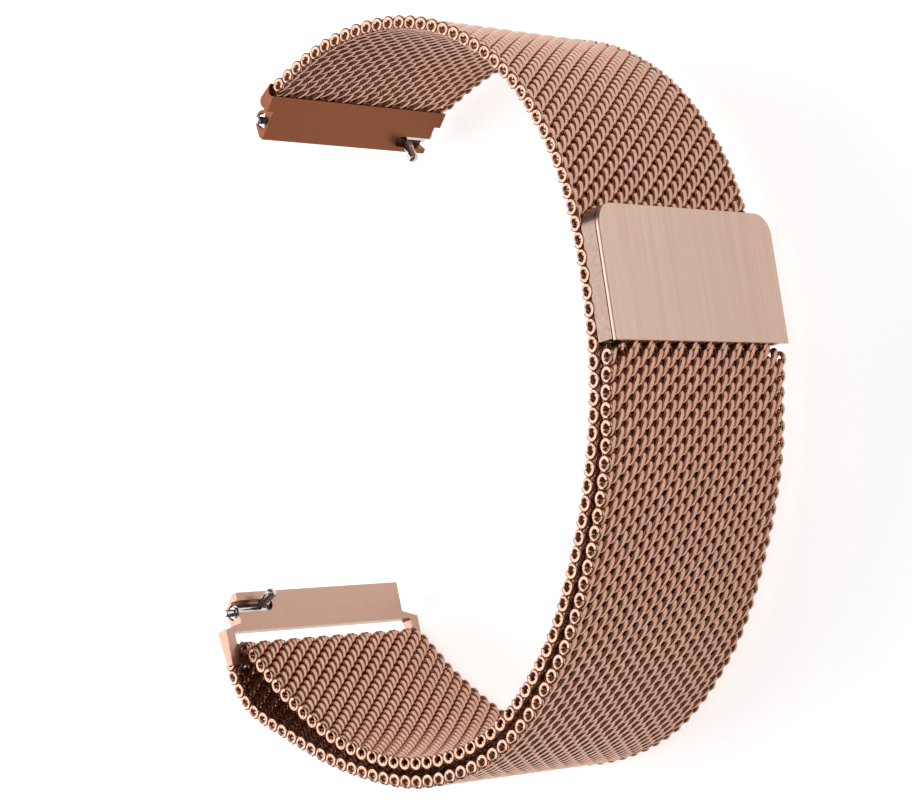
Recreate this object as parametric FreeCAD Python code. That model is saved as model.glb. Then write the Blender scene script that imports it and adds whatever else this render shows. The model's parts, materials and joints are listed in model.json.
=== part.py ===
"""Magnetic mesh watch band, lying on its side: FreeCAD source of every sub-part, in millimetres.

The band is a C-shaped loop seen along +Z. The path of the inner mesh layer starts at the fixed end fitting,
runs clockwise over the top, down past the clasp and along the bottom to the slotted end fitting, folds round
the slotted fitting's cross bar and comes back outside itself as the tail, whose end carries the clasp.
The width of the band lies along Z and the open side of the loop faces -X.
"""

import FreeCAD
import Part
import math
import os

Vector = FreeCAD.Vector

# Band and mesh
LUG_WIDTH = 20.0            # the gap between a watch's lugs that the band fits
BARREL_LENGTH = 19.8        # length of each fitting between the lugs
BAND_WIDTH = 21.2           # mesh, clasp and the wide part of the fixed fitting
MESH_THICKNESS = 1.1
LAYER_SPACING = 1.6         # centre line to centre line where the tail lies on the strap
LINK_CLEARANCE = 0.05       # radial play between two mesh links
HALF_MESH = MESH_THICKNESS / 2

# Path of the inner layer: the first point, the heading there and (radius, turn in degrees, links) for each arc
PATH_START = Vector(-12.5, 27.85, 0)
START_HEADING = 32.4
PATH_ARCS = (
    (27.5, 32.8, 2),        # over the top, from the fixed fitting
    (22.8, 56.4, 3),        # round the upper right
    (30.2, 14.0, 1),        # upper side
    (42.6, 15.4, 1),        # the flat stretch under the clasp
    (45.0, 32.2, 3),        # lower side
    (19.9, 53.5, 2),        # round the lower right
    (25.5, 43.4, 2),        # along the bottom
)
LAST_LINK = 5.8             # the straight link before the fold
SEAT_LINK = 7               # the strap link that the clasp sits on, and the root of the joint tree
SHARED_HINGES = (7, 12)     # first and last strap hinge that the tail runs beside at LAYER_SPACING

# Fold and tail, left of the bottom, where the tail hangs away from the strap
FOLD_RADIUS = 1.75          # centre line of the mesh round the cross bar
FOLD_WRAP = 168.0           # degrees of fold, from the strap's end to the tail's start
FOLD_TAIL = 3.2             # straight mesh after the fold, part of the fold piece
TAIL_FREE_HINGES = (Vector(-12.0, -29.45, 0), Vector(-3.1, -31.85, 0))
LIFT_LINK = 4.0             # the short link below the clasp that bends when the clasp is lifted

# Spring bars
BAR_TUBE_RADIUS = 0.68
BAR_BORE_RADIUS = 0.55
BAR_TIP_RADIUS = 0.35
BAR_TIP_LENGTH = 0.9        # how far the release tip stands out of the barrel
PLAIN_TIP_LENGTH = 0.65
BAR_TIP_ROUND = 0.12
BAR_TUBE_SHORT = 0.2        # the tube ends this far inside each end of the barrel
PLAIN_SHANK = 1.6           # part of the plain tip that is pressed into the tube
RELEASE_SHANK = 4.4
RELEASE_PLAY = 0.03
RELEASE_TRAVEL = 1.0
KNOB_POSITION = 2.75        # from the end of the barrel to the knob's axis
KNOB_STEM_RADIUS = 0.24
KNOB_STEM_TOP = 1.3
KNOB_HEAD_RADIUS = 0.48
KNOB_HEAD_TOP = 3.3
KNOB_WAIST_RADIUS = 0.41
KNOB_RIM = 0.45
KNOB_CAP = 0.9
KNOB_DOME = 0.4
KNOB_PLAY = 0.04
SPRING_WIRE = 0.16
SPRING_RADIUS = 0.38
SPRING_TURNS = 12
SPRING_GAP = 0.05

# Barrels, the round tubes of both fittings that hold the spring bars
BARREL_RADIUS = 0.95
BARREL_BORE = 0.71
BARREL_DEPTH = 0.95         # from the inner face of a fitting to the spring bar's axis
BARREL_LIP = 0.5            # thickness of the barrel's straight edge
LEVER_SLOT_WIDTH = 1.1
LEVER_SLOT_LENGTH = 4.05
LEVER_SLOT_OFFSET = 0.4     # the slot lies this much nearer the edge than the spring bar's axis

# Fixed end fitting, whose inner face runs from its mesh end down to the barrel's edge
FIXED_EDGE = Vector(-12.2, 27.6, 0)
FIXED_SLOPE = 235.8         # heading of the inner face, from the mesh end to the barrel
FIXED_LENGTH = 4.85
FIXED_NOSE = 1.45           # from the barrel's edge to the spring bar's axis
FIXED_MOUTH_LIP = 0.15
# Outlines of the neck and of the wide block, as distances along and out from the barrel's edge
FIXED_NECK_OUTLINE = ((1.45, 0), (3.05, 0), (3.05, 1.0), (1.75, 1.6))
FIXED_BLOCK_OUTLINE = ((3.45, 1.5), (3.05, 1.35), (2.85, 0.95), (2.85, 0), (4.4, 0))

# Slotted end fitting
SLOTTED_EDGE = Vector(-18.95, -17.6, 0)
SLOTTED_SLOPE = 286.5       # heading of the inner face, from the barrel's edge to the cross bar
SLOTTED_NOSE = 1.7          # from the barrel's edge to the spring bar's axis
SLOTTED_THICKNESS = 1.35
SLOTTED_NECK_HEIGHT = 1.85
SLOTTED_WIDTH = 23.5
SLOTTED_ARM_WIDTH = 0.95
SLOTTED_SHOULDER = 2.85
SLOTTED_SHOULDER_FALL = 0.55    # how far the shoulders slope back at the frame's corners
WINDOW_START = 3.6
WINDOW_ROUND = 0.25
ARM_END = 6.6
ARM_END_THICKNESS = 0.75
CROSS_BAR_POSITION = 6.2
CROSS_BAR_DEPTH = 0.4
CROSS_BAR_RADIUS = 0.4
CROSS_BAR_EMBED = 0.3       # how far the cross bar runs into each arm

# Clasp, in its own directions: along from its mouth, out from the strap's centre line
CLASP_START = 0.2
CLASP_END = 11.15
CLASP_WIDTH = 21.0
CLASP_UNDERSIDE = 0.76
CLASP_FLOOR = 0.24
CLASP_WALL = 0.42
CLASP_BASE_TOP = 2.25
CLASP_COVER = 0.34
CLASP_CORNER = 1.8
COVER_GAP = 0.1
COVER_OVERHANG = 0.15
COVER_BEVEL = 0.12
TONGUE_LENGTH = 3.6
MOUTH_CLEARANCE = 0.1
YOKE_CORNER = 1.3
MAGNET_COUNT = 3
MAGNET_SIZE = (5.4, 5.2)    # across the band, along the band
MAGNET_START = 4.6
MAGNET_FLOOR_GAP = 0.03
MAGNET_HEIGHT = 0.9
YOKE_THICKNESS = 0.24
YOKE_MARGIN = 0.15
INNER_GAP = 0.03

# For picking edges: a distance that counts as none, and a cosine that counts as parallel
NEAR = 0.01
PARALLEL = 0.99


def direction(degrees):
    return Vector(math.cos(math.radians(degrees)), math.sin(math.radians(degrees)), 0)


def left_of(forward):
    return Vector(-forward.y, forward.x, 0)


def strap_path():
    """The strap's hinge points, and the heading at each."""
    points = [PATH_START]
    headings = [START_HEADING]
    for radius, turn, links in PATH_ARCS:
        for _ in range(links):
            centre = points[-1] - left_of(direction(headings[-1])) * radius
            headings.append(headings[-1] - turn / links)
            points.append(centre + left_of(direction(headings[-1])) * radius)
    headings.append(headings[-1])
    points.append(points[-1] + direction(headings[-1]) * LAST_LINK)
    return points, headings


STRAP, STRAP_HEADINGS = strap_path()
FOLD_START_ANGLE = STRAP_HEADINGS[-1] - 90
FOLD_CENTRE = STRAP[-1] - direction(FOLD_START_ANGLE) * FOLD_RADIUS
FOLD_END = FOLD_CENTRE + direction(FOLD_START_ANGLE + FOLD_WRAP) * FOLD_RADIUS
FOLD_END_HEADING = FOLD_START_ANGLE + FOLD_WRAP + 90


def tail_path():
    """The tail's hinge points by number. Hinge n of the tail undoes the bend of hinge n of the strap."""
    first, last = SHARED_HINGES
    points = {}
    for number in range(first, last + 1):
        outward = left_of(direction(STRAP_HEADINGS[number]))
        points[number] = STRAP[number] + outward * LAYER_SPACING
    points[last + 1] = TAIL_FREE_HINGES[1]
    points[last + 2] = TAIL_FREE_HINGES[0]
    points[last + 3] = FOLD_END + direction(FOLD_END_HEADING) * FOLD_TAIL
    return points


TAIL = tail_path()
SEAT_ALONG = (STRAP[SEAT_LINK - 1] - STRAP[SEAT_LINK]).normalize()
SEAT_OUT = left_of(SEAT_ALONG) * -1
CLASP_MOUTH = STRAP[SEAT_LINK] + SEAT_OUT * LAYER_SPACING
TAIL[SEAT_LINK] = CLASP_MOUTH
LIFT_HINGE = CLASP_MOUTH + (TAIL[SEAT_LINK + 1] - CLASP_MOUTH).normalize() * LIFT_LINK


def prism(points, low, high):
    """A solid with straight sides through the points, from height low to height high."""
    corners = [Vector(p.x, p.y, low) for p in points]
    face = Part.Face(Part.makePolygon(corners + corners[:1]))
    return face.extrude(Vector(0, 0, high - low))


def rod(radius, centre, low, high):
    return Part.makeCylinder(radius, high - low, Vector(centre.x, centre.y, low), Vector(0, 0, 1))


def place(origin, along, out, a, o):
    """The point a along and o out from origin."""
    return origin + along * a + out * o


def slab(start, end, low, high, half):
    """A flat bar with a centre line from start to end, square at both ends."""
    side = left_of((end - start).normalize()) * half
    return prism([start + side, end + side, end - side, start - side], low, high)


def link(socket, bead, width=BAND_WIDTH):
    """A flat mesh link: a round bead on the hinge axis at one end and a matching socket at the other."""
    along = (bead - socket).normalize()
    low, high = -width / 2, width / 2
    body = slab(socket, bead, low, high, HALF_MESH).fuse(rod(HALF_MESH, bead, low, high))
    body = body.cut(rod(HALF_MESH + LINK_CLEARANCE, socket, low - 1, high + 1))
    behind = slab(socket - along * 2, socket, low - 1, high + 1, MESH_THICKNESS)
    return body.cut(behind).removeSplitter()


def mesh_fold():
    """The mesh round the cross bar, with the first straight stretch of the tail."""
    low, high = -BAND_WIDTH / 2, BAND_WIDTH / 2
    ring = rod(FOLD_RADIUS + HALF_MESH, FOLD_CENTRE, low, high)
    ring = ring.cut(rod(FOLD_RADIUS - HALF_MESH, FOLD_CENTRE, low - 1, high + 1))
    reach = FOLD_RADIUS * 3
    wedge = [FOLD_CENTRE]
    steps = 4
    for step in range(steps + 1):
        wedge.append(FOLD_CENTRE + direction(FOLD_START_ANGLE + FOLD_WRAP * step / steps) * reach)
    bend = ring.common(prism(wedge, low, high))
    hinge = TAIL[SHARED_HINGES[1] + 3]
    straight = slab(FOLD_END, hinge, low, high, HALF_MESH).fuse(rod(HALF_MESH, hinge, low, high))
    return bend.fuse(straight).removeSplitter()


def barrel(edge, along, out, nose):
    """A tube for the spring bar, drawn out to a narrow straight edge where it meets the inner face."""
    half_length = BARREL_LENGTH / 2
    axis = place(edge, along, out, nose, BARREL_DEPTH)
    lip = edge + out * BARREL_LIP
    to_lip = lip - axis
    spread = math.degrees(math.acos(BARREL_RADIUS / to_lip.Length))
    facing = math.degrees(math.atan2(to_lip.y, to_lip.x))
    tangents = [axis + direction(facing + turn) * BARREL_RADIUS for turn in (-spread, spread)]
    back = max(tangents, key=lambda point: (point - edge).dot(out))
    face_foot = edge + along * nose
    body = rod(BARREL_RADIUS, axis, -half_length, half_length)
    return body.fuse(prism([edge, lip, back, axis, face_foot], -half_length, half_length)), axis


def bore_and_slot(body, axis, along, out, end):
    """Cuts the spring bar's bore and the open slot that the lever slides in, at the end z sign end."""
    half_length = BARREL_LENGTH / 2
    body = body.cut(rod(BARREL_BORE, axis, -half_length - 2, half_length + 2))
    half_slot = LEVER_SLOT_WIDTH / 2
    middle = axis - along * LEVER_SLOT_OFFSET
    corners = [
        place(middle, along, out, -half_slot, 0),
        place(middle, along, out, half_slot, 0),
        place(middle, along, out, half_slot, -BARREL_DEPTH - 1),
        place(middle, along, out, -half_slot, -BARREL_DEPTH - 1),
    ]
    inner_end = half_length - LEVER_SLOT_LENGTH + half_slot
    low, high = sorted((end * inner_end, end * (half_length + 1)))
    slot = prism(corners, low, high)
    foot = place(middle, along, out, 0, -BARREL_DEPTH - 1) + Vector(0, 0, end * inner_end)
    round_end = Part.makeCylinder(half_slot, BARREL_DEPTH + 1, foot, out)
    return body.cut(slot).cut(round_end)


def fixed_frame():
    """The fixed fitting's directions: along its inner face away from the barrel's edge, and outwards."""
    along = direction(FIXED_SLOPE - 180)
    out = left_of(along)
    return FIXED_EDGE - along * FIXED_LENGTH, along, out


def fixed_end_fitting():
    edge, along, out = fixed_frame()
    half = BARREL_LENGTH / 2
    body, axis = barrel(edge, along, out, FIXED_NOSE)
    neck = [place(edge, along, out, a, o) for a, o in FIXED_NECK_OUTLINE]
    body = body.fuse(prism(neck, -half, half))
    mouth_heading = direction(START_HEADING)
    mouth_side = left_of(mouth_heading)
    half_mouth = HALF_MESH + FIXED_MOUTH_LIP
    block = [STRAP[0] + mouth_side * half_mouth]
    block += [place(edge, along, out, a, o) for a, o in FIXED_BLOCK_OUTLINE]
    body = body.fuse(prism(block, -BAND_WIDTH / 2, BAND_WIDTH / 2))
    body = bore_and_slot(body, axis, along, out, -1)
    pocket = rod(HALF_MESH + LINK_CLEARANCE, STRAP[0], -BAND_WIDTH, BAND_WIDTH)
    return body.cut(pocket).removeSplitter()


def lever_direction(along, out):
    """The way the lever points: out through the middle of its slot in the inner face."""
    return (out * -BARREL_DEPTH - along * LEVER_SLOT_OFFSET).normalize()


def fixed_bar_axis():
    edge, along, out = fixed_frame()
    return place(edge, along, out, FIXED_NOSE, BARREL_DEPTH), lever_direction(along, out)


def slotted_frame():
    """The slotted fitting's directions: along its inner face from the barrel's edge, and outwards."""
    along = direction(SLOTTED_SLOPE)
    return SLOTTED_EDGE, along, left_of(along) * -1


def cross_bar_axis():
    edge, along, out = slotted_frame()
    return place(edge, along, out, CROSS_BAR_POSITION, CROSS_BAR_DEPTH)


def slotted_end_fitting():
    edge, along, out = slotted_frame()
    half = BARREL_LENGTH / 2
    half_frame = SLOTTED_WIDTH / 2
    half_window = half_frame - SLOTTED_ARM_WIDTH
    body, axis = barrel(edge, along, out, SLOTTED_NOSE)
    plate = [
        (SLOTTED_NOSE, 0),
        (WINDOW_START, 0),
        (WINDOW_START, SLOTTED_THICKNESS),
        (SLOTTED_NOSE, SLOTTED_NECK_HEIGHT),
    ]
    body = body.fuse(prism([place(edge, along, out, a, o) for a, o in plate], -half, half))
    outline = [
        place(edge, along, out, SLOTTED_SHOULDER, 0),
        place(edge, along, out, ARM_END, 0),
        place(edge, along, out, ARM_END, ARM_END_THICKNESS),
        place(edge, along, out, SLOTTED_SHOULDER, SLOTTED_THICKNESS),
    ]
    frame = prism(outline, -half_frame, half_frame)
    window = prism(
        [
            place(edge, along, out, WINDOW_START, -1),
            place(edge, along, out, CROSS_BAR_POSITION + 2, -1),
            place(edge, along, out, CROSS_BAR_POSITION + 2, 3),
            place(edge, along, out, WINDOW_START, 3),
        ],
        -half_window,
        half_window,
    )
    window_edges = [
        e
        for e in window.Edges
        if abs(e.tangentAt(e.FirstParameter).dot(out)) > PARALLEL
        and abs((e.CenterOfMass - edge).dot(along) - WINDOW_START) < NEAR
    ]
    frame = frame.cut(window.makeFillet(WINDOW_ROUND, window_edges))
    for end in (-1, 1):
        start = place(edge, along, out, SLOTTED_SHOULDER, -1) + Vector(0, 0, end * half)
        corner = place(edge, along, out, SLOTTED_SHOULDER, -1) + Vector(0, 0, end * half_frame)
        triangle = [start, corner, corner + along * SLOTTED_SHOULDER_FALL, start]
        frame = frame.cut(Part.Face(Part.makePolygon(triangle)).extrude(out * (SLOTTED_THICKNESS + 2)))
    reach = half_window + CROSS_BAR_EMBED
    body = body.fuse(frame).fuse(rod(CROSS_BAR_RADIUS, cross_bar_axis(), -reach, reach))
    return bore_and_slot(body, axis, along, out, 1).removeSplitter()


def slotted_bar_axis():
    edge, along, out = slotted_frame()
    return place(edge, along, out, SLOTTED_NOSE, BARREL_DEPTH), lever_direction(along, out)


def bar_tube(axis, lever, end):
    half = BARREL_LENGTH / 2 - BAR_TUBE_SHORT
    tube = rod(BAR_TUBE_RADIUS, axis, -half, half).cut(rod(BAR_BORE_RADIUS, axis, -half - 1, half + 1))
    knob_z = BARREL_LENGTH / 2 - KNOB_POSITION
    clear = KNOB_STEM_RADIUS + KNOB_PLAY
    foot = axis + Vector(0, 0, end * knob_z)
    side = left_of(lever) * clear
    corners = [axis - side, axis + side, axis + side + lever, axis - side + lever]
    low, high = sorted((end * (knob_z - RELEASE_TRAVEL), end * knob_z))
    slot = prism(corners, low, high)
    ends = [Part.makeCylinder(clear, 1, foot - Vector(0, 0, end * z), lever) for z in (0, RELEASE_TRAVEL)]
    return tube.cut(slot).cut(ends[0]).cut(ends[1])


def tip(axis, end, length, shank_radius, shank):
    """A spring bar tip with a domed end outside the barrel and a shank inside the tube."""
    half = BARREL_LENGTH / 2
    pin = Part.makeCylinder(BAR_TIP_RADIUS, length, Vector(0, 0, half))
    outer = [e for e in pin.Edges if abs(e.CenterOfMass.z - half - length) < NEAR]
    pin = pin.makeFillet(BAR_TIP_ROUND, [e for e in outer if e.Curve.TypeId == "Part::GeomCircle"])
    pin = pin.fuse(Part.makeCylinder(shank_radius, shank, Vector(0, 0, half - shank)))
    if end < 0:
        pin = pin.mirror(Vector(0, 0, 0), Vector(0, 0, 1))
    return pin.translated(axis)


def release_pin(axis, lever, end):
    """The sliding tip, drilled for the lever's stem."""
    pin = tip(axis, end, BAR_TIP_LENGTH, BAR_BORE_RADIUS - RELEASE_PLAY, RELEASE_SHANK)
    knob_z = BARREL_LENGTH / 2 - KNOB_POSITION
    foot = axis + Vector(0, 0, end * knob_z)
    return pin.cut(Part.makeCylinder(KNOB_STEM_RADIUS, 1, foot, lever))


def lever_knob(axis, lever, end):
    """The lever: a stem in the release pin, and a spool-shaped head with a domed top for a fingernail."""
    rim = Part.makeCylinder(KNOB_HEAD_RADIUS, KNOB_RIM, Vector(0, 0, KNOB_STEM_TOP))
    cap_start = KNOB_HEAD_TOP - KNOB_CAP
    cap = Part.makeCylinder(KNOB_HEAD_RADIUS, KNOB_CAP, Vector(0, 0, cap_start))
    cap = cap.makeFillet(KNOB_DOME, [e for e in cap.Edges if e.BoundBox.ZMin > KNOB_HEAD_TOP - NEAR])
    stem = Part.makeCylinder(KNOB_STEM_RADIUS, KNOB_STEM_TOP + NEAR)
    waist = Part.makeCylinder(KNOB_WAIST_RADIUS, cap_start - KNOB_STEM_TOP, Vector(0, 0, KNOB_STEM_TOP))
    solid = stem.fuse([rim, waist, cap]).removeSplitter()
    knob_z = BARREL_LENGTH / 2 - KNOB_POSITION
    solid.Placement = FreeCAD.Placement(
        axis + Vector(0, 0, end * knob_z), FreeCAD.Rotation(Vector(0, 0, 1), lever)
    )
    return solid


def bar_spring(axis, end):
    """The compression spring between the plain tip and the release pin."""
    half = BARREL_LENGTH / 2
    far = -half + PLAIN_SHANK + SPRING_GAP + SPRING_WIRE / 2
    near = half - RELEASE_SHANK - SPRING_GAP - SPRING_WIRE / 2
    length = near - far
    helix = Part.makeHelix(length / SPRING_TURNS, length, SPRING_RADIUS)
    start = Vector(SPRING_RADIUS, 0, 0)
    section = Part.Wire(Part.makeCircle(SPRING_WIRE / 2, start, Vector(0, 1, 0)))
    coil = Part.Wire(helix.Edges).makePipeShell([section], True, True)
    if end < 0:
        coil = coil.mirror(Vector(0, 0, 0), Vector(0, 0, 1))
    return coil.translated(axis + Vector(0, 0, end * far))


def clasp_point(a, o):
    return place(STRAP[SEAT_LINK], SEAT_ALONG, SEAT_OUT, a, o)


def clasp_plate(start, end, half_width, corner, low, high):
    """A plate over the seat link, square at its mouth end and rounded at its top corners."""
    body = prism(
        [clasp_point(start, low), clasp_point(end, low), clasp_point(end, high), clasp_point(start, high)],
        -half_width,
        half_width,
    )
    if corner <= 0:
        return body
    far = [
        e
        for e in body.Edges
        if abs(e.tangentAt(e.FirstParameter).dot(SEAT_OUT)) > PARALLEL
        and (e.CenterOfMass - STRAP[SEAT_LINK]).dot(SEAT_ALONG) > end - NEAR
    ]
    return body.makeFillet(corner, far)


def clasp_base():
    """The tray under the cover: a thin floor, side walls and a closed, round-cornered top end."""
    half = CLASP_WIDTH / 2
    shell = clasp_plate(CLASP_START, CLASP_END, half, CLASP_CORNER, CLASP_UNDERSIDE, CLASP_BASE_TOP)
    floor = CLASP_UNDERSIDE + CLASP_FLOOR
    inner_end = CLASP_END - CLASP_WALL
    inner_half = half - CLASP_WALL
    corner = CLASP_CORNER - CLASP_WALL
    hollow = clasp_plate(CLASP_START - 1, inner_end, inner_half, corner, floor, CLASP_BASE_TOP + 1)
    mouth = rod(HALF_MESH + MOUTH_CLEARANCE, CLASP_MOUTH, -inner_half, inner_half)
    return shell.cut(hollow).cut(mouth)


def clasp_cover():
    half = CLASP_WIDTH / 2
    low = CLASP_BASE_TOP + COVER_GAP
    start = CLASP_START - COVER_OVERHANG
    cover = clasp_plate(start, CLASP_END, half, CLASP_CORNER, low, low + CLASP_COVER)
    top = [
        e
        for e in cover.Edges
        if abs((e.CenterOfMass - STRAP[SEAT_LINK]).dot(SEAT_OUT) - low - CLASP_COVER) < NEAR
    ]
    return cover.makeFillet(COVER_BEVEL, top)


def clasp_magnets():
    across, along = MAGNET_SIZE
    low = CLASP_UNDERSIDE + CLASP_FLOOR + MAGNET_FLOOR_GAP
    inside = CLASP_WIDTH - 2 * CLASP_WALL
    pitch = inside / MAGNET_COUNT
    blocks = []
    for number in range(MAGNET_COUNT):
        block = clasp_plate(MAGNET_START, MAGNET_START + along, across / 2, 0, low, low + MAGNET_HEIGHT)
        centre = (number - (MAGNET_COUNT - 1) / 2) * pitch
        blocks.append(block.translated(Vector(0, 0, centre)))
    return Part.makeCompound(blocks)


def clasp_yoke_plate():
    """The soft steel plate that lies on the magnets' backs and closes their field."""
    low = CLASP_UNDERSIDE + CLASP_FLOOR + MAGNET_FLOOR_GAP + MAGNET_HEIGHT + INNER_GAP
    half = CLASP_WIDTH / 2 - CLASP_WALL - YOKE_MARGIN
    end = MAGNET_START + MAGNET_SIZE[1] + YOKE_MARGIN
    return clasp_plate(MAGNET_START - YOKE_MARGIN, end, half, YOKE_CORNER, low, low + YOKE_THICKNESS)


def tail_mesh_end():
    """The end of the mesh, held in the clasp's mouth between the base and the cover."""
    end = CLASP_MOUTH + SEAT_ALONG * TONGUE_LENGTH
    half_width = CLASP_WIDTH / 2 - CLASP_WALL - INNER_GAP
    tongue = slab(CLASP_MOUTH, end, -half_width, half_width, HALF_MESH - INNER_GAP)
    clear = rod(HALF_MESH + LINK_CLEARANCE, CLASP_MOUTH, -BAND_WIDTH, BAND_WIDTH)
    return tongue.cut(clear)


def strap_links():
    """Links 1 to the last of the inner layer; each link's bead points away from the seat link."""
    links = {}
    for number in range(1, len(STRAP)):
        start, end = STRAP[number - 1], STRAP[number]
        if number < SEAT_LINK:
            links[number] = link(end, start)
        elif number > SEAT_LINK:
            links[number] = link(start, end)
    low, high = -BAND_WIDTH / 2, BAND_WIDTH / 2
    first, second = STRAP[SEAT_LINK - 1], STRAP[SEAT_LINK]
    seat = slab(first, second, low, high, HALF_MESH)
    links[SEAT_LINK] = seat.fuse([rod(HALF_MESH, p, low, high) for p in (first, second)]).removeSplitter()
    last = len(STRAP) - 1
    low_end = slab(STRAP[last - 1], STRAP[last], low, high, HALF_MESH)
    links[last] = low_end.cut(rod(HALF_MESH + LINK_CLEARANCE, STRAP[last - 1], low - 1, high + 1))
    return links


def tail_points():
    """The tail's hinge points in order, from the fold to the clasp's mouth."""
    numbers = sorted(TAIL, reverse=True)
    return [TAIL[n] for n in numbers[:-1]] + [LIFT_HINGE, TAIL[numbers[-1]]]


def tail_links():
    """The tail's links by number. The last one is narrower, to fit between the clasp's side walls."""
    points = tail_points()
    links = {n + 1: link(points[n], points[n + 1]) for n in range(len(points) - 1)}
    width = CLASP_WIDTH - 2 * (CLASP_WALL + MOUTH_CLEARANCE)
    links[len(links)] = link(points[-2], points[-1], width)
    return links


def spring_bar(prefix, axis, lever, end):
    return {
        prefix + "_bar_tube": bar_tube(axis, lever, end),
        prefix + "_bar_plain_tip": tip(axis, -end, PLAIN_TIP_LENGTH, BAR_BORE_RADIUS, PLAIN_SHANK),
        prefix + "_bar_release_pin": release_pin(axis, lever, end),
        prefix + "_bar_lever_knob": lever_knob(axis, lever, end),
        prefix + "_bar_spring": bar_spring(axis, end),
    }


def all_parts():
    parts = {"fixed_end_fitting": fixed_end_fitting(), "slotted_end_fitting": slotted_end_fitting()}
    parts.update(spring_bar("fixed", *fixed_bar_axis(), -1))
    parts.update(spring_bar("slotted", *slotted_bar_axis(), 1))
    for number, solid in strap_links().items():
        parts["mesh_strap_%02d" % number] = solid
    parts["mesh_fold"] = mesh_fold()
    for number, solid in tail_links().items():
        parts["mesh_tail_%02d" % number] = solid
    parts["mesh_tail_end"] = tail_mesh_end()
    parts["clasp_base"] = clasp_base()
    parts["clasp_cover"] = clasp_cover()
    parts["clasp_magnets"] = clasp_magnets()
    parts["clasp_yoke_plate"] = clasp_yoke_plate()
    return parts


def origin_shift(parts):
    """The move that stands the band's box on z = 0 with its centre over the origin."""
    box = Part.makeCompound(list(parts.values())).optimalBoundingBox(False)
    return Vector(-(box.XMin + box.XMax) / 2, -(box.YMin + box.YMax) / 2, -box.ZMin)


PARTS = all_parts()
SHIFT = origin_shift(PARTS)

os.makedirs("parts", exist_ok=True)
for name, shape in PARTS.items():
    shape.translated(SHIFT).exportStep("parts/" + name + ".step")
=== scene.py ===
"""Looks for the magnetic mesh watch band.

The woven wire mesh, the metal finishes, the floor, the light and the camera.
"""

import json
import math

import bpy
import numpy as np
from mathutils import Matrix, Vector

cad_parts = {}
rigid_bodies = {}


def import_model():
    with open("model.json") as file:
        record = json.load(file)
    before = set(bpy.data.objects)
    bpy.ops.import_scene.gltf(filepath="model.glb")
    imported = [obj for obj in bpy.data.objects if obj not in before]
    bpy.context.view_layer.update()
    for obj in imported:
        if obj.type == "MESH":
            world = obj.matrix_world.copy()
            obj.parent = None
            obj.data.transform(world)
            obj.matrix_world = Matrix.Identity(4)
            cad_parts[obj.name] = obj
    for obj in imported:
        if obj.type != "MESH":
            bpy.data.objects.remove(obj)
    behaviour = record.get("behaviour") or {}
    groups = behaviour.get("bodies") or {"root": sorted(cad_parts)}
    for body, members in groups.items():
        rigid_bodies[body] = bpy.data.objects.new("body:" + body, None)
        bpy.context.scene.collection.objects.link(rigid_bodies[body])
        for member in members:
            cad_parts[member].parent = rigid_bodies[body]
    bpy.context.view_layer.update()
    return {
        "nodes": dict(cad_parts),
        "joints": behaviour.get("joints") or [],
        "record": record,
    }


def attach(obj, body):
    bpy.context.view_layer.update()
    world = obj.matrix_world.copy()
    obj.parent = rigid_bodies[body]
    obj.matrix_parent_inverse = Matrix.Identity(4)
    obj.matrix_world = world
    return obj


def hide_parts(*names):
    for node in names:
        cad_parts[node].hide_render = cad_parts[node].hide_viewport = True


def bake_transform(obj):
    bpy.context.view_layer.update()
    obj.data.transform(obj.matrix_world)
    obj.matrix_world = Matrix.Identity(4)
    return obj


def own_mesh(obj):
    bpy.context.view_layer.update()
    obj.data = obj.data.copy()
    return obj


MM = 0.001

# Weave, in millimetres. Each row is one flattened coil of wire across the band.
ROW_PITCH = 0.70            # along the band, from one coil to the next
TURN_PITCH = 1.765          # across the band, from one turn of a coil to the next
WIRE_RADIUS = 0.235
WIRE_WIDE = 1.30            # the wire is rolled flat: this much wider in the plane of the mesh
WIRE_FLAT = 0.9             # and this much thinner through it
RING_WIRE_RADIUS = 0.21
COIL_ALONG = 0.78           # half the coil's centre line along the band
COIL_THICK = 0.325          # half the coil's centre line through the mesh
RING_ALONG = 0.53
RING_THICK = 0.44
RING_RATE = 0.9             # how fast a closing coil moves out to the edge, per radian
RINGED_REACH = 9.85         # where a ringed coil starts to close into its edge ring
PLAIN_REACH = 10.42         # where a plain coil ends, welded between two rings
CLASP_REACH = 9.3           # where a coil inside the clasp ends
EDGE_REACH = 10.45          # centre line of an edge ring
EDGE_FACE = 10.54           # the ground, flat faces of the edge rings
RING_TURNS = 1.1
RING_CLOSING = 2.2          # over how many radians a coil takes the ring's size
TIP_BULGE = 0.6             # how far a wire's end stands out, in wire radii
SAMPLES_PER_TURN = 14
TUBE_SIDES = 8
MESH_END = 1.4              # how far the mesh runs into the clasp
LEAD_IN = 2.0               # how far the path reaches back into the fixed fitting
FIRST_ROW = 0.05            # from the fixed fitting's hinge to the first coil

NORMAL_REACH = 0.25         # how far to each side the path's direction is measured
CLASP_LEAD = 0.5            # how far before the last hinge the coils lose their rings

# Path of the mesh, which goes round the slotted fitting's cross bar
LEAD_HEADING = 32.4
CLASP_RUN = 3.0             # the path's last straight, inside the clasp
LAST_HEADING = 144.7
LAST_STRAIGHT = 5.8
FOLD_RADIUS = 1.75
FOLD_WRAP = 168.0
FOLD_STEPS = 10

# How the mesh is shared out between the bodies
FOLD_START = 4.4            # from the last strap hinge to the rigid fold
FOLD_END = 1.5              # from the rigid fold to the tail's hinge
STRAIGHTENING_FROM = 7      # strap hinges below this number have their bodies the other way round

FLOOR_HALF = 3.0            # metres
BRUSH_STRETCH = (250, 40, 4200)  # brush marks per metre along X, Y and Z

# Camera
LENS = 102.6
CAMERA_PLACE = (0.16373, -0.00047, 0.17005)
CAMERA_FORWARD = (-0.728, 0.002, -0.685)
CAMERA_RIGHT = (0.685, -0.003, -0.728)

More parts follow.
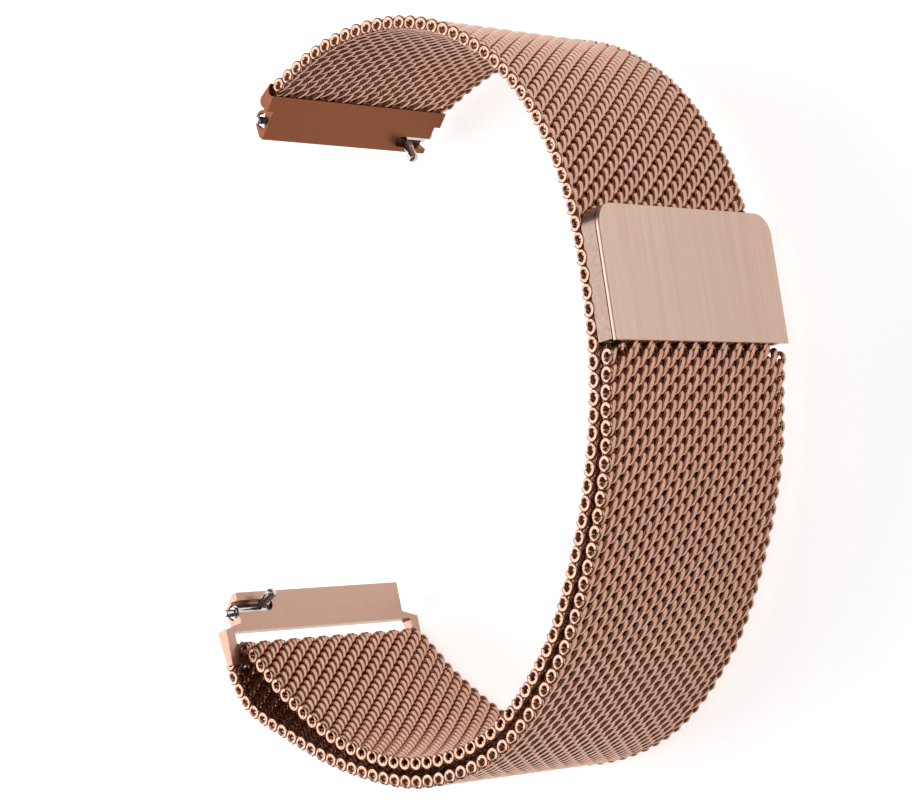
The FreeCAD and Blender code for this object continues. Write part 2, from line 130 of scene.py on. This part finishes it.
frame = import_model()
JOINTS = {j["name"]: j for j in frame["joints"]}
MIDDLE_Z = JOINTS["strap_flex_07"]["pos_m"][2] / MM


# ---------------------------------------------------------------- path of the mesh


def heading(degrees):
    return np.array([math.cos(math.radians(degrees)), math.sin(math.radians(degrees))])


def hinge_point(name):
    return np.array(JOINTS[name]["pos_m"][:2]) / MM


STRAP_HINGES = ["fixed_end_flex"] + ["strap_flex_%02d" % n for n in range(1, 15)]
TAIL_HINGES = ["tail_open"] + ["tail_flex_%02d" % n for n in range(14, 7, -1)]
TAIL_HINGES += ["clasp_lift", "tail_flex_07"]


def path_points():
    """The points that the mesh's centre line goes through, and the number of each hinge's point."""
    points, at = [], {}
    first = hinge_point(STRAP_HINGES[0])
    lead = heading(LEAD_HEADING)
    points.append(first - lead * LEAD_IN)
    for name in STRAP_HINGES:
        at[name] = len(points)
        points.append(hinge_point(name))
    end = points[-1] + heading(LAST_HEADING) * LAST_STRAIGHT
    points.append(points[-1] + heading(LAST_HEADING) * LAST_STRAIGHT / 2)
    first_angle = LAST_HEADING - 90
    centre = end - heading(first_angle) * FOLD_RADIUS
    for step in range(FOLD_STEPS + 1):
        points.append(centre + heading(first_angle + FOLD_WRAP * step / FOLD_STEPS) * FOLD_RADIUS)
    for name in TAIL_HINGES:
        at[name] = len(points)
        points.append(hinge_point(name))
    seat = hinge_point("strap_flex_06") - hinge_point("strap_flex_07")
    points.append(points[-1] + seat / np.linalg.norm(seat) * CLASP_RUN)
    return np.array(points), at


def smooth_line(points, steps=40):
    """A centripetal Catmull-Rom line through the points, and the sample number of each point."""
    ends = np.vstack([2 * points[0] - points[1], points, 2 * points[-1] - points[-2]])
    knots = np.concatenate([[0], np.cumsum(np.sqrt(np.linalg.norm(np.diff(ends, axis=0), axis=1)))])
    line = []
    for i in range(1, len(ends) - 2):
        t = np.linspace(knots[i], knots[i + 1], steps, endpoint=False)[:, None]
        a, b, c, d = knots[i - 1 : i + 3]
        p, q, r, s = ends[i - 1 : i + 3]
        pq = ((b - t) * p + (t - a) * q) / (b - a)
        qr = ((c - t) * q + (t - b) * r) / (c - b)
        rs = ((d - t) * r + (t - c) * s) / (d - c)
        pqr = ((c - t) * pq + (t - a) * qr) / (c - a)
        qrs = ((d - t) * qr + (t - b) * rs) / (d - b)
        line.append(((c - t) * pqr + (t - b) * qrs) / (c - b))
    line.append(points[-1:])
    return np.vstack(line), [i * steps for i in range(len(points))]


POINTS, HINGE_AT = path_points()
LINE, KNOT_AT = smooth_line(POINTS)
RUN = np.concatenate([[0], np.cumsum(np.linalg.norm(np.diff(LINE, axis=0), axis=1))])
HINGE_RUN = {name: RUN[KNOT_AT[number]] for name, number in HINGE_AT.items()}


def on_path(run):
    """Centre line points and outward normals at these distances along the mesh."""
    x, y = np.interp(run, RUN, LINE[:, 0]), np.interp(run, RUN, LINE[:, 1])
    ahead = np.clip(run + NORMAL_REACH, 0, RUN[-1])
    behind = np.clip(run - NORMAL_REACH, 0, RUN[-1])
    tx = np.interp(ahead, RUN, LINE[:, 0]) - np.interp(behind, RUN, LINE[:, 0])
    ty = np.interp(ahead, RUN, LINE[:, 1]) - np.interp(behind, RUN, LINE[:, 1])
    size = np.hypot(tx, ty)
    return np.stack([x, y], -1), np.stack([-ty / size, tx / size], -1)


# ---------------------------------------------------------------- weave


def ease(t):
    t = np.clip(t, 0, 1)
    return t * t * (3 - 2 * t)


def coil_line(reach, ring, offset):
    """One coil as (along, out, across) and its wire radius; ring closes both ends into edge rings."""
    turn = 2 * math.pi
    main = reach / TURN_PITCH * turn
    extra = RING_TURNS * turn if ring else 0
    count = int(round((main + extra) * 2 / turn * SAMPLES_PER_TURN))
    phase = np.linspace(-main - extra, main + extra, count + 1)
    past = np.maximum(np.abs(phase) - main, 0)
    room = EDGE_REACH - reach
    across = np.clip(phase, -main, main) / turn * TURN_PITCH
    across += np.sign(phase) * room * (1 - np.exp(-RING_RATE * past))
    if not ring:
        across = phase / turn * TURN_PITCH
    closing = ease(past / RING_CLOSING)
    along = COIL_ALONG + (RING_ALONG - COIL_ALONG) * closing
    thick = COIL_THICK + (RING_THICK - COIL_THICK) * closing
    wire = WIRE_RADIUS + (RING_WIRE_RADIUS - WIRE_RADIUS) * closing
    angle = phase + offset
    return np.stack([-along * np.cos(angle), thick * np.sin(angle), across], -1), wire


def tube_template(line, wire):
    """Tube round the line, in the coil's own directions: vertices and quads, with its end caps."""
    tangent = np.gradient(line, axis=0)
    tangent /= np.linalg.norm(tangent, axis=1)[:, None]
    radial = line * np.array([1, 1, 0])
    radial -= (radial * tangent).sum(1)[:, None] * tangent
    radial /= np.linalg.norm(radial, axis=1)[:, None]
    side = np.cross(tangent, radial)
    round_again = (wire - WIRE_RADIUS) / (RING_WIRE_RADIUS - WIRE_RADIUS)
    thin = (WIRE_FLAT + (1 - WIRE_FLAT) * round_again)[:, None]
    wide = (WIRE_WIDE + (1 - WIRE_WIDE) * round_again)[:, None]
    angles = (np.arange(TUBE_SIDES) + 0.5) * 2 * math.pi / TUBE_SIDES
    around = [math.cos(a) * thin * radial + math.sin(a) * wide * side for a in angles]
    verts = np.stack([line + wire[:, None] * away for away in around], 1).reshape(-1, 3)
    ends = [0, -1]
    tips = line[ends] + tangent[ends] * np.array([[-TIP_BULGE], [TIP_BULGE]]) * wire[ends][:, None]
    verts = np.vstack([verts, tips])
    verts[:, 2] = np.clip(verts[:, 2], -EDGE_FACE, EDGE_FACE)
    count = len(line)
    i, j = np.meshgrid(np.arange(count - 1), np.arange(TUBE_SIDES), indexing="ij")
    k = (j + 1) % TUBE_SIDES
    here = i * TUBE_SIDES
    ahead = here + TUBE_SIDES
    quads = np.stack([here + j, here + k, ahead + k, ahead + j], -1)
    j = np.arange(TUBE_SIDES)
    k = (j + 1) % TUBE_SIDES
    first = count * TUBE_SIDES
    last = first + 1
    base = (count - 1) * TUBE_SIDES
    first_cap = np.stack([k, j, np.full_like(j, first)], -1)
    last_cap = np.stack([base + j, base + k, np.full_like(j, last)], -1)
    return verts, quads.reshape(-1, 4), np.vstack([first_cap, last_cap])


RINGED_COIL = tube_template(*coil_line(RINGED_REACH, True, 0.0))
PLAIN_COIL = tube_template(*coil_line(PLAIN_REACH, False, math.pi))
CLASP_COIL = tube_template(*coil_line(CLASP_REACH, False, math.pi))


def new_mesh(name, verts, quads, tris):
    mesh = bpy.data.meshes.new(name)
    mesh.vertices.add(len(verts))
    mesh.vertices.foreach_set("co", np.asarray(verts, np.float32).ravel())
    loops = np.concatenate([quads.ravel(), tris.ravel()])
    mesh.loops.add(len(loops))
    mesh.loops.foreach_set("vertex_index", loops.astype(np.int32))
    sizes = np.concatenate([np.full(len(quads), 4), np.full(len(tris), 3)])
    starts = np.concatenate([[0], np.cumsum(sizes)[:-1]])
    mesh.polygons.add(len(sizes))
    mesh.polygons.foreach_set("loop_start", starts.astype(np.int32))
    faces = [np.asarray(verts)[part][:, :, 2] for part in (quads, tris)]
    ground = np.concatenate([np.ptp(heights, axis=1) < 1e-7 for heights in faces])
    mesh.polygons.foreach_set("use_smooth", ~ground)
    mesh.update(calc_edges=True)
    mesh.validate()
    return mesh


def weave(name, rows):
    """One object with the coils of these rows, given as (distance along the mesh, coil)."""
    verts, quads, tris, base = [], [], [], 0
    for run, (v, q, t) in rows:
        centre, out = on_path(run + v[:, 0])
        flat = centre + out * v[:, 1:2]
        verts.append(np.column_stack([flat, v[:, 2] + MIDDLE_Z]) * MM)
        quads.append(q + base)
        tris.append(t + base)
        base += len(v)
    obj = bpy.data.objects.new(name, new_mesh(name, np.vstack(verts), np.vstack(quads), np.vstack(tris)))
    bpy.context.scene.collection.objects.link(obj)
    return obj


def mesh_sections():
    """(name, start, end, bodies) along the mesh: one stretch across each hinge, and the rigid fold."""
    names = STRAP_HINGES + TAIL_HINGES
    sections = []
    low = HINGE_RUN[names[0]] + FIRST_ROW
    for name, following in zip(names, names[1:] + [None]):
        here = HINGE_RUN[name]
        if name == "strap_flex_14":
            high = here + FOLD_START
        elif following:
            high = (here + HINGE_RUN[following]) / 2
        else:
            high = here + MESH_END
        joint = JOINTS[name]
        first, second = joint["parent"], joint["child"]
        if name.startswith("strap_flex") and int(name[-2:]) < STRAIGHTENING_FROM:
            first, second = second, first
        if name == "fixed_end_flex":
            first, second = "fixed_end", "strap_01"
        sections.append((name, low, high, (first, second)))
        low = high
        if name == "strap_flex_14":
            high = HINGE_RUN["tail_open"] - FOLD_END
            sections.append(("fold", low, high, ("fold",)))
            low = high
    return sections


def cad_nodes_of(bodies):
    members = frame["record"]["behaviour"]["bodies"]
    return [n for b in bodies for n in members[b] if n.startswith("mesh_")]


def build_mesh(material):
    sections = mesh_sections()
    mouth = HINGE_RUN["tail_flex_07"]
    start = sections[0][1]
    count = int((sections[-1][2] - start) / ROW_PITCH) + 1
    for name, low, high, bodies in sections:
        rows = []
        for number in range(count):
            run = start + number * ROW_PITCH
            if low <= run < high:
                coil = RINGED_COIL if number % 2 else PLAIN_COIL
                if run > mouth - CLASP_LEAD:
                    coil = CLASP_COIL
                rows.append((run, coil))
        piece = weave("mesh_" + name, rows)
        piece.data.materials.append(material)
        if len(bodies) == 1:
            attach(piece, bodies[0])
        else:
            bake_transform(piece)
        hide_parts(*cad_nodes_of(bodies))


def build_springs(material):
    """The spring inside each spring bar, copied from its part and carried by its end's body. The real
    spring gets shorter as its lever is pulled, but this copy keeps its length.
    """
    for side in ("fixed", "slotted"):
        node = frame["nodes"][side + "_bar_spring"]
        spring = bpy.data.objects.new(side + "_spring", node.data.copy())
        spring.matrix_world = node.matrix_world.copy()
        bpy.context.scene.collection.objects.link(spring)
        spring.data.materials.clear()
        spring.data.materials.append(material)
        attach(spring, side + "_end")
        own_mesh(spring)
        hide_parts(side + "_bar_spring")


# ---------------------------------------------------------------- materials


def new_material(name, color, roughness, metallic=1.0):
    material = bpy.data.materials.new(name)
    material.use_nodes = True
    shader = material.node_tree.nodes["Principled BSDF"]
    shader.inputs["Base Color"].default_value = (*color, 1)
    shader.inputs["Roughness"].default_value = roughness
    shader.inputs["Metallic"].default_value = metallic
    return material, material.node_tree, shader


def noise(tree, scale, stretch=(1, 1, 1), detail=3.0):
    """Noise in the object's own coordinates; scale is in features per metre."""
    place = tree.nodes.new("ShaderNodeTexCoord")
    mapping = tree.nodes.new("ShaderNodeMapping")
    mapping.inputs["Scale"].default_value = [scale * s for s in stretch]
    texture = tree.nodes.new("ShaderNodeTexNoise")
    texture.inputs["Scale"].default_value = 1.0
    texture.inputs["Detail"].default_value = detail
    tree.links.new(place.outputs["Object"], mapping.inputs["Vector"])
    tree.links.new(mapping.outputs["Vector"], texture.inputs["Vector"])
    return texture.outputs["Fac"]


def vary(tree, value, low, high, socket):
    """Links a 0 to 1 value, spread from low to high, into a shader socket."""
    spread = tree.nodes.new("ShaderNodeMapRange")
    spread.inputs["From Min"].default_value = 0.3
    spread.inputs["From Max"].default_value = 0.7
    spread.inputs["To Min"].default_value = low
    spread.inputs["To Max"].default_value = high
    tree.links.new(value, spread.inputs["Value"])
    tree.links.new(spread.outputs["Result"], socket)


def tint(tree, value, dark, light, socket):
    mix = tree.nodes.new("ShaderNodeMix")
    mix.data_type = "RGBA"
    mix.inputs["A"].default_value = (*dark, 1)
    mix.inputs["B"].default_value = (*light, 1)
    tree.links.new(value, mix.inputs["Factor"])
    tree.links.new(mix.outputs["Result"], socket)


def bump(tree, shader, value, strength, depth):
    node = tree.nodes.new("ShaderNodeBump")
    node.inputs["Strength"].default_value = strength
    node.inputs["Distance"].default_value = depth
    tree.links.new(value, node.inputs["Height"])
    tree.links.new(node.outputs["Normal"], shader.inputs["Normal"])


def wire_material():
    material, tree, shader = new_material("rose_gold_wire", (0.80, 0.50, 0.38), 0.24)
    tint(tree, noise(tree, 900), (0.52, 0.265, 0.18), (0.71, 0.43, 0.32), shader.inputs["Base Color"])
    vary(tree, noise(tree, 5000), 0.20, 0.32, shader.inputs["Roughness"])
    bump(tree, shader, noise(tree, 9000), 0.15, 0.00003)
    return material


def brushed_material(name, dark, light, rough, stretch, depth):
    material, tree, shader = new_material(name, light, rough)
    grain = noise(tree, 1.0, stretch, 4.0)
    tint(tree, grain, dark, light, shader.inputs["Base Color"])
    vary(tree, grain, rough - 0.05, rough + 0.08, shader.inputs["Roughness"])
    bump(tree, shader, grain, 0.25, depth)
    return material


def satin_material(name, color, rough):
    material, tree, shader = new_material(name, color, rough)
    dark = tuple(c * 0.93 for c in color)
    tint(tree, noise(tree, 700), dark, color, shader.inputs["Base Color"])
    vary(tree, noise(tree, 3000), rough - 0.05, rough + 0.06, shader.inputs["Roughness"])
    bump(tree, shader, noise(tree, 12000), 0.12, 0.00002)
    return material


def finish_cad_nodes():
    dark = (0.53, 0.36, 0.28)
    light = (0.73, 0.535, 0.44)
    cover = brushed_material("clasp_cover_brushed", dark, light, 0.32, BRUSH_STRETCH, 0.00004)
    base = satin_material("clasp_base_satin", (0.385, 0.270, 0.215), 0.36)
    fitting = satin_material("fitting_satin", (0.525, 0.337, 0.255), 0.34)
    # Painted shade: the fixed end fitting is the same metal as the other fittings, but this darker copy
    # of the satin stands in for the shade it lies in.
    painted_shade_fitting = satin_material("fitting_satin_painted_shade", (0.225, 0.078, 0.036), 0.34)
    magnet = satin_material("magnet_nickel", (0.70, 0.70, 0.72), 0.3)
    yoke = satin_material("yoke_steel", (0.52, 0.52, 0.54), 0.45)
    steel = satin_material("bar_steel", (0.62, 0.63, 0.65), 0.18)
    spring = satin_material("spring_wire", (0.58, 0.58, 0.60), 0.3)
    by_slot = {
        "clasp_cover": cover,
        "clasp_base": base,
        "fitting": fitting,
        "magnet": magnet,
        "yoke_steel": yoke,
        "bar_steel": steel,
        "spring_wire": spring,
        "mesh_wire": fitting,
    }
    for part in frame["record"]["subparts"]:
        node = frame["nodes"][part["node"]]
        node.data.materials.clear()
        # The fixed end fitting gets the darker copy of the fitting satin, which is painted shade.
        in_shade = part["node"] == "fixed_end_fitting"
        node.data.materials.append(painted_shade_fitting if in_shade else by_slot[part["material_slot"]])


# ---------------------------------------------------------------- floor, light and camera


def build_floor():
    half = FLOOR_HALF
    corners = [(-half, -half, 0), (half, -half, 0), (half, half, 0), (-half, half, 0)]
    mesh = bpy.data.meshes.new("floor")
    mesh.from_pydata(corners, [], [(0, 1, 2, 3)])
    floor = bpy.data.objects.new("floor", mesh)
    bpy.context.scene.collection.objects.link(floor)
    material, _, shader = new_material("floor_white", (0.9, 0.9, 0.9), 0.9, 0.0)
    shader.inputs["Emission Color"].default_value = (1, 1, 1, 1)
    shader.inputs["Emission Strength"].default_value = 0.75
    floor.data.materials.append(material)


def area_light(name, place, aim, size, power, color=(1, 1, 1)):
    light = bpy.data.lights.new(name, "AREA")
    light.shape = "RECTANGLE"
    light.size, light.size_y = size
    light.energy = power
    light.color = color
    obj = bpy.data.objects.new(name, light)
    obj.location = place
    obj.rotation_euler = (Vector(aim) - Vector(place)).to_track_quat("-Z", "Y").to_euler()
    bpy.context.scene.collection.objects.link(obj)


def build_light():
    world = bpy.data.worlds.new("studio")
    world.use_nodes = True
    background = world.node_tree.nodes["Background"]
    background.inputs["Color"].default_value = (1, 1, 1, 1)
    background.inputs["Strength"].default_value = 0.08
    bpy.context.scene.world = world
    area_light("key", (0.05, 0.10, 0.45), (0, 0, 0.01), (0.30, 0.30), 0.28)
    area_light("side", (0.45, 0.15, 0.12), (0.02, 0, 0.01), (0.20, 0.30), 0.20)
    area_light("left", (-0.36, -0.02, 0.31), (0, 0, 0.01), (0.40, 0.42), 1.15)


def build_camera():
    camera = bpy.data.cameras.new("camera")
    camera.lens = LENS
    camera.sensor_width = 36.0
    camera.clip_start = 0.01
    obj = bpy.data.objects.new("camera", camera)
    forward = Vector(CAMERA_FORWARD).normalized()
    right = Vector(CAMERA_RIGHT)
    right = (right - forward * right.dot(forward)).normalized()
    up = right.cross(forward)
    turn = Matrix((right, up, -forward)).transposed()
    obj.matrix_world = Matrix.Translation(CAMERA_PLACE) @ turn.to_4x4()
    bpy.context.scene.collection.objects.link(obj)
    bpy.context.scene.camera = obj


build_mesh(wire_material())
build_springs(satin_material("spring_wire_bright", (0.58, 0.58, 0.60), 0.3))
finish_cad_nodes()
build_floor()
build_light()
build_camera()
bpy.context.scene.view_settings.view_transform = "Standard"
